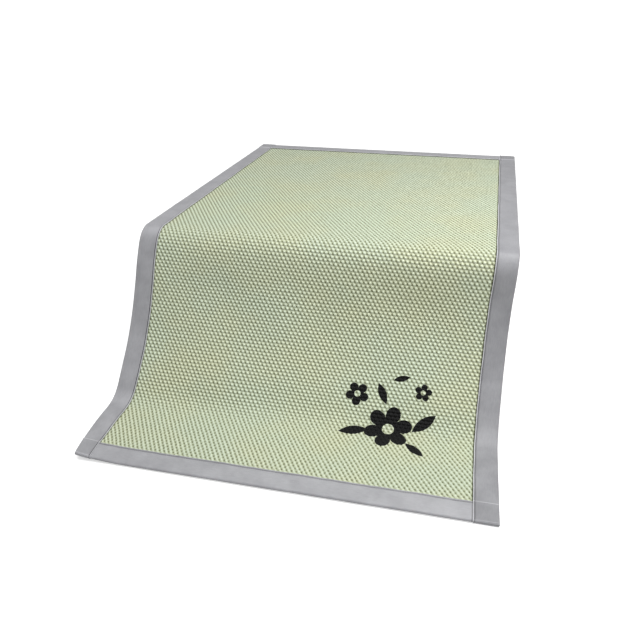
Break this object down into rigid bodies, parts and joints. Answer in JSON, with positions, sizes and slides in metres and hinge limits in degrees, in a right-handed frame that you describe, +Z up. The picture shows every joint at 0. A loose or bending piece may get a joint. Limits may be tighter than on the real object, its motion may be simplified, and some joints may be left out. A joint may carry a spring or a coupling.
{
  "type": "sleeping mat over the edge of a mattress",
  "caption": "Woven sleeping mat with bound edges, lying level on a plain mattress, falling over its front edge and running out on the floor.",
  "frame": {"origin": "middle of the object's bounding box at floor level", "axes": "+Z up, +Y towards the back of the mattress, the mat falls over the front edge towards -Y, +X to the right seen from the front"},
  "size_m": [0.6046, 0.8968, 0.2424],
  "materials": {
    "mat_panel": "woven in puffed grains",
    "binding": "satin",
    "mattress": "matt cloth"
  },
  "bodies": {
    "root": {"mat_panel": "mat_panel", "side_binding_left": "binding", "side_binding_right": "binding", "back_binding": "binding", "front_binding": "binding", "mattress": "mattress"}
  },
  "joints": []
}
